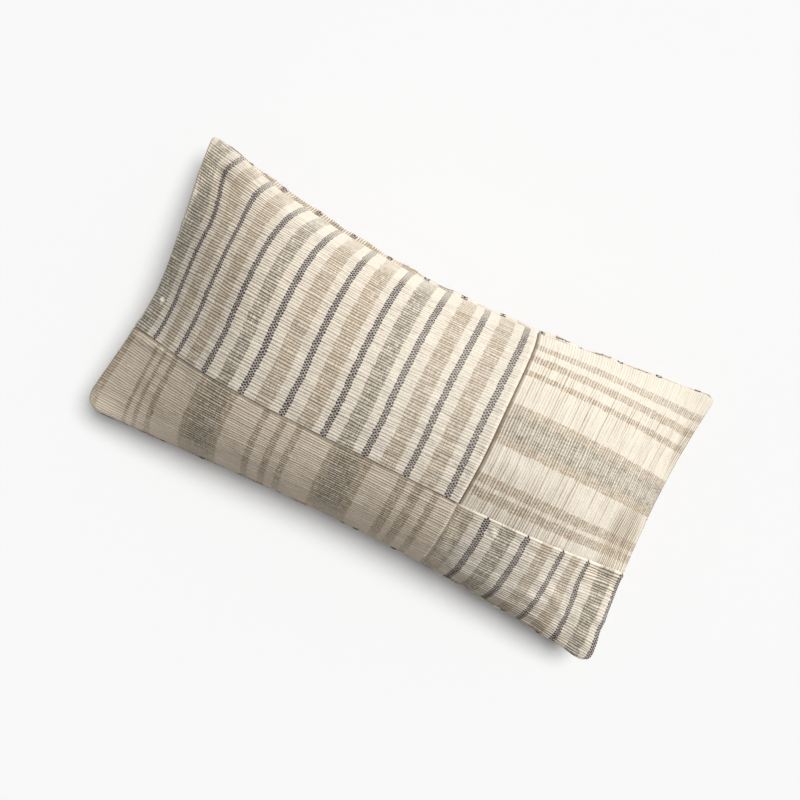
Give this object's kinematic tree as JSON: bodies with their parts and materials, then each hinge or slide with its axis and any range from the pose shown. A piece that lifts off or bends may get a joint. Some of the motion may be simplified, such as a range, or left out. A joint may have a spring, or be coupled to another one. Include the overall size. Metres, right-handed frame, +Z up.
{
  "type": "lumbar cushion cover",
  "caption": "Oblong filled cushion cover in hand-woven striped cotton: a face pieced from panels and a plain one-piece back.",
  "frame": {"origin": "on the surface that the cushion lies on, under the middle of its outline", "axes": "+X along the cushion's long side, +Y across it towards the long edge of the large panel, +Z up out of the pieced face"},
  "size_m": [0.6078, 0.3138, 0.1344],
  "materials": {
    "back_cloth": "undyed hand-woven cotton with narrow dark stripes and grey and taupe bands, matt",
    "striped_cloth": "undyed hand-woven cotton with narrow dark stripes and grey and taupe bands, matt",
    "banded_cloth": "undyed hand-woven cotton with broad grey bands and groups of thin taupe stripes, matt"
  },
  "bodies": {
    "root": {"filled_cushion_and_back": "back_cloth", "front_main_panel": "striped_cloth", "front_lower_strip": "banded_cloth", "front_turned_panel": "banded_cloth", "front_corner_panel": "striped_cloth"}
  },
  "joints": []
}
